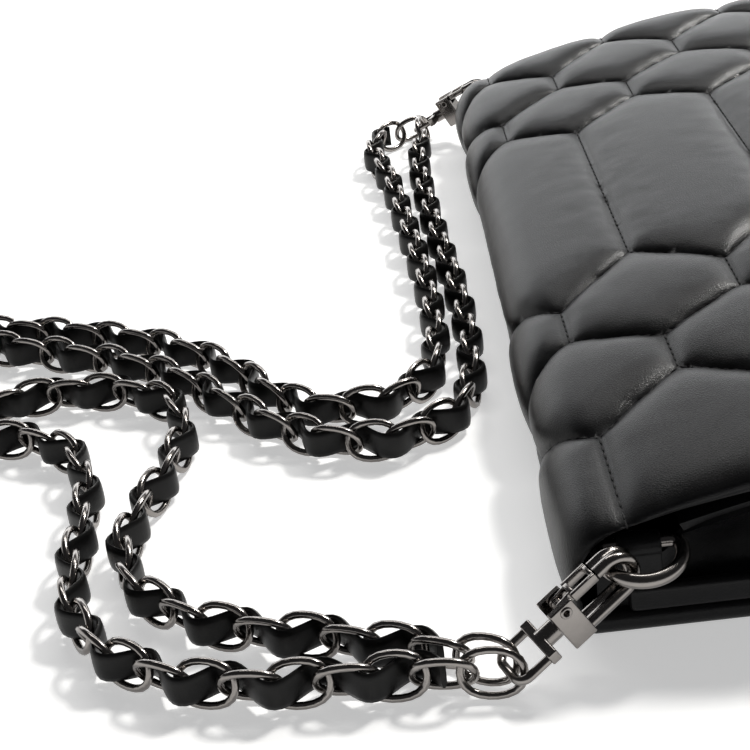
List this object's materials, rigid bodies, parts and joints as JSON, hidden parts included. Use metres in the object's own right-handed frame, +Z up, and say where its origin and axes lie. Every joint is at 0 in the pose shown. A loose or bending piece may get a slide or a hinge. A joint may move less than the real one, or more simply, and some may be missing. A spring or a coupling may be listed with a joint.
{
  "type": "chain shoulder bag",
  "caption": "Quilted black leather flap bag lying on its back, with a double chain and leather strap clipped by swivel snap hooks to rings on its sides",
  "frame": {"origin": "on the floor under the middle of the bag, which lies on its back", "axes": "+X along the bag's width, +Y from its base to the fold of its flap, +Z up, from its back to its front"},
  "size_m": [0.314, 0.361, 0.0448],
  "materials": {
    "black_leather": "fine grain, semi-gloss",
    "lace_leather": "smooth, semi-gloss",
    "lining": "fine woven",
    "gunmetal": "polished dark nickel",
    "snap_metal": "satin"
  },
  "bodies": {
    "bag": {"back_panel": "black_leather", "spine": "black_leather", "front_panel": "black_leather", "front_lining": "lining", "back_lining": "lining", "slip_pocket": "lining", "base_gusset": "black_leather", "left_gusset": "black_leather", "right_gusset": "black_leather", "left_welt": "black_leather", "right_welt": "black_leather", "left_tab": "black_leather", "right_tab": "black_leather", "snap_socket": "snap_metal", "snap_socket_plate": "snap_metal", "outer_links": "gunmetal", "outer_lace": "lace_leather", "inner_links": "gunmetal", "inner_lace": "lace_leather", "left_eye": "gunmetal", "right_eye": "gunmetal"},
    "flap": {"flap": "black_leather", "flap_lining": "lining", "snap_stud": "snap_metal", "snap_stud_plate": "snap_metal"},
    "left_ring": {"left_ring": "gunmetal"},
    "left_clasp": {"left_hook": "gunmetal", "left_gate_pin": "gunmetal", "left_gate_spring": "gunmetal"},
    "left_gate": {"left_gate": "gunmetal"},
    "right_ring": {"right_ring": "gunmetal"},
    "right_clasp": {"right_hook": "gunmetal", "right_gate_pin": "gunmetal", "right_gate_spring": "gunmetal"},
    "right_gate": {"right_gate": "gunmetal"}
  },
  "joints": [
    {"name": "flap_hinge", "type": "hinge", "parent": "bag", "child": "flap", "pos_m": [0, 0.07772, 0.02412], "axis": [-1, 0, 0], "range_deg": [0, 130]},
    {"name": "left_ring_swing", "type": "hinge", "parent": "bag", "child": "left_ring", "pos_m": [-0.1361, 0.0685, 0.0193], "axis": [0, 1, 0], "range_deg": [-2, 1]},
    {"name": "left_swivel", "type": "hinge", "parent": "bag", "child": "left_clasp", "pos_m": [-0.1525, 0.09661, 0.00484], "axis": [0.3423, -0.8075, 0.4804], "range_deg": [-2, 12]},
    {"name": "left_gate_hinge", "type": "hinge", "parent": "left_clasp", "child": "left_gate", "pos_m": [-0.14756, 0.08576, 0.01534], "axis": [0.9338, 0.3489, -0.0789], "range_deg": [0, 22], "stiffness_Nm_per_rad": 0.001, "springref_deg": -17.19},
    {"name": "right_ring_swing", "type": "hinge", "parent": "bag", "child": "right_ring", "pos_m": [0.1361, 0.0685, 0.0193], "axis": [0, 1, 0], "range_deg": [-1, 2]},
    {"name": "right_swivel", "type": "hinge", "parent": "bag", "child": "right_clasp", "pos_m": [0.1525, 0.09661, 0.00484], "axis": [-0.3423, -0.8075, 0.4804], "range_deg": [-12, 2]},
    {"name": "right_gate_hinge", "type": "hinge", "parent": "right_clasp", "child": "right_gate", "pos_m": [0.14756, 0.08576, 0.01534], "axis": [0.9338, -0.3489, 0.0789], "range_deg": [0, 22], "stiffness_Nm_per_rad": 0.001, "springref_deg": -17.19}
  ]
}
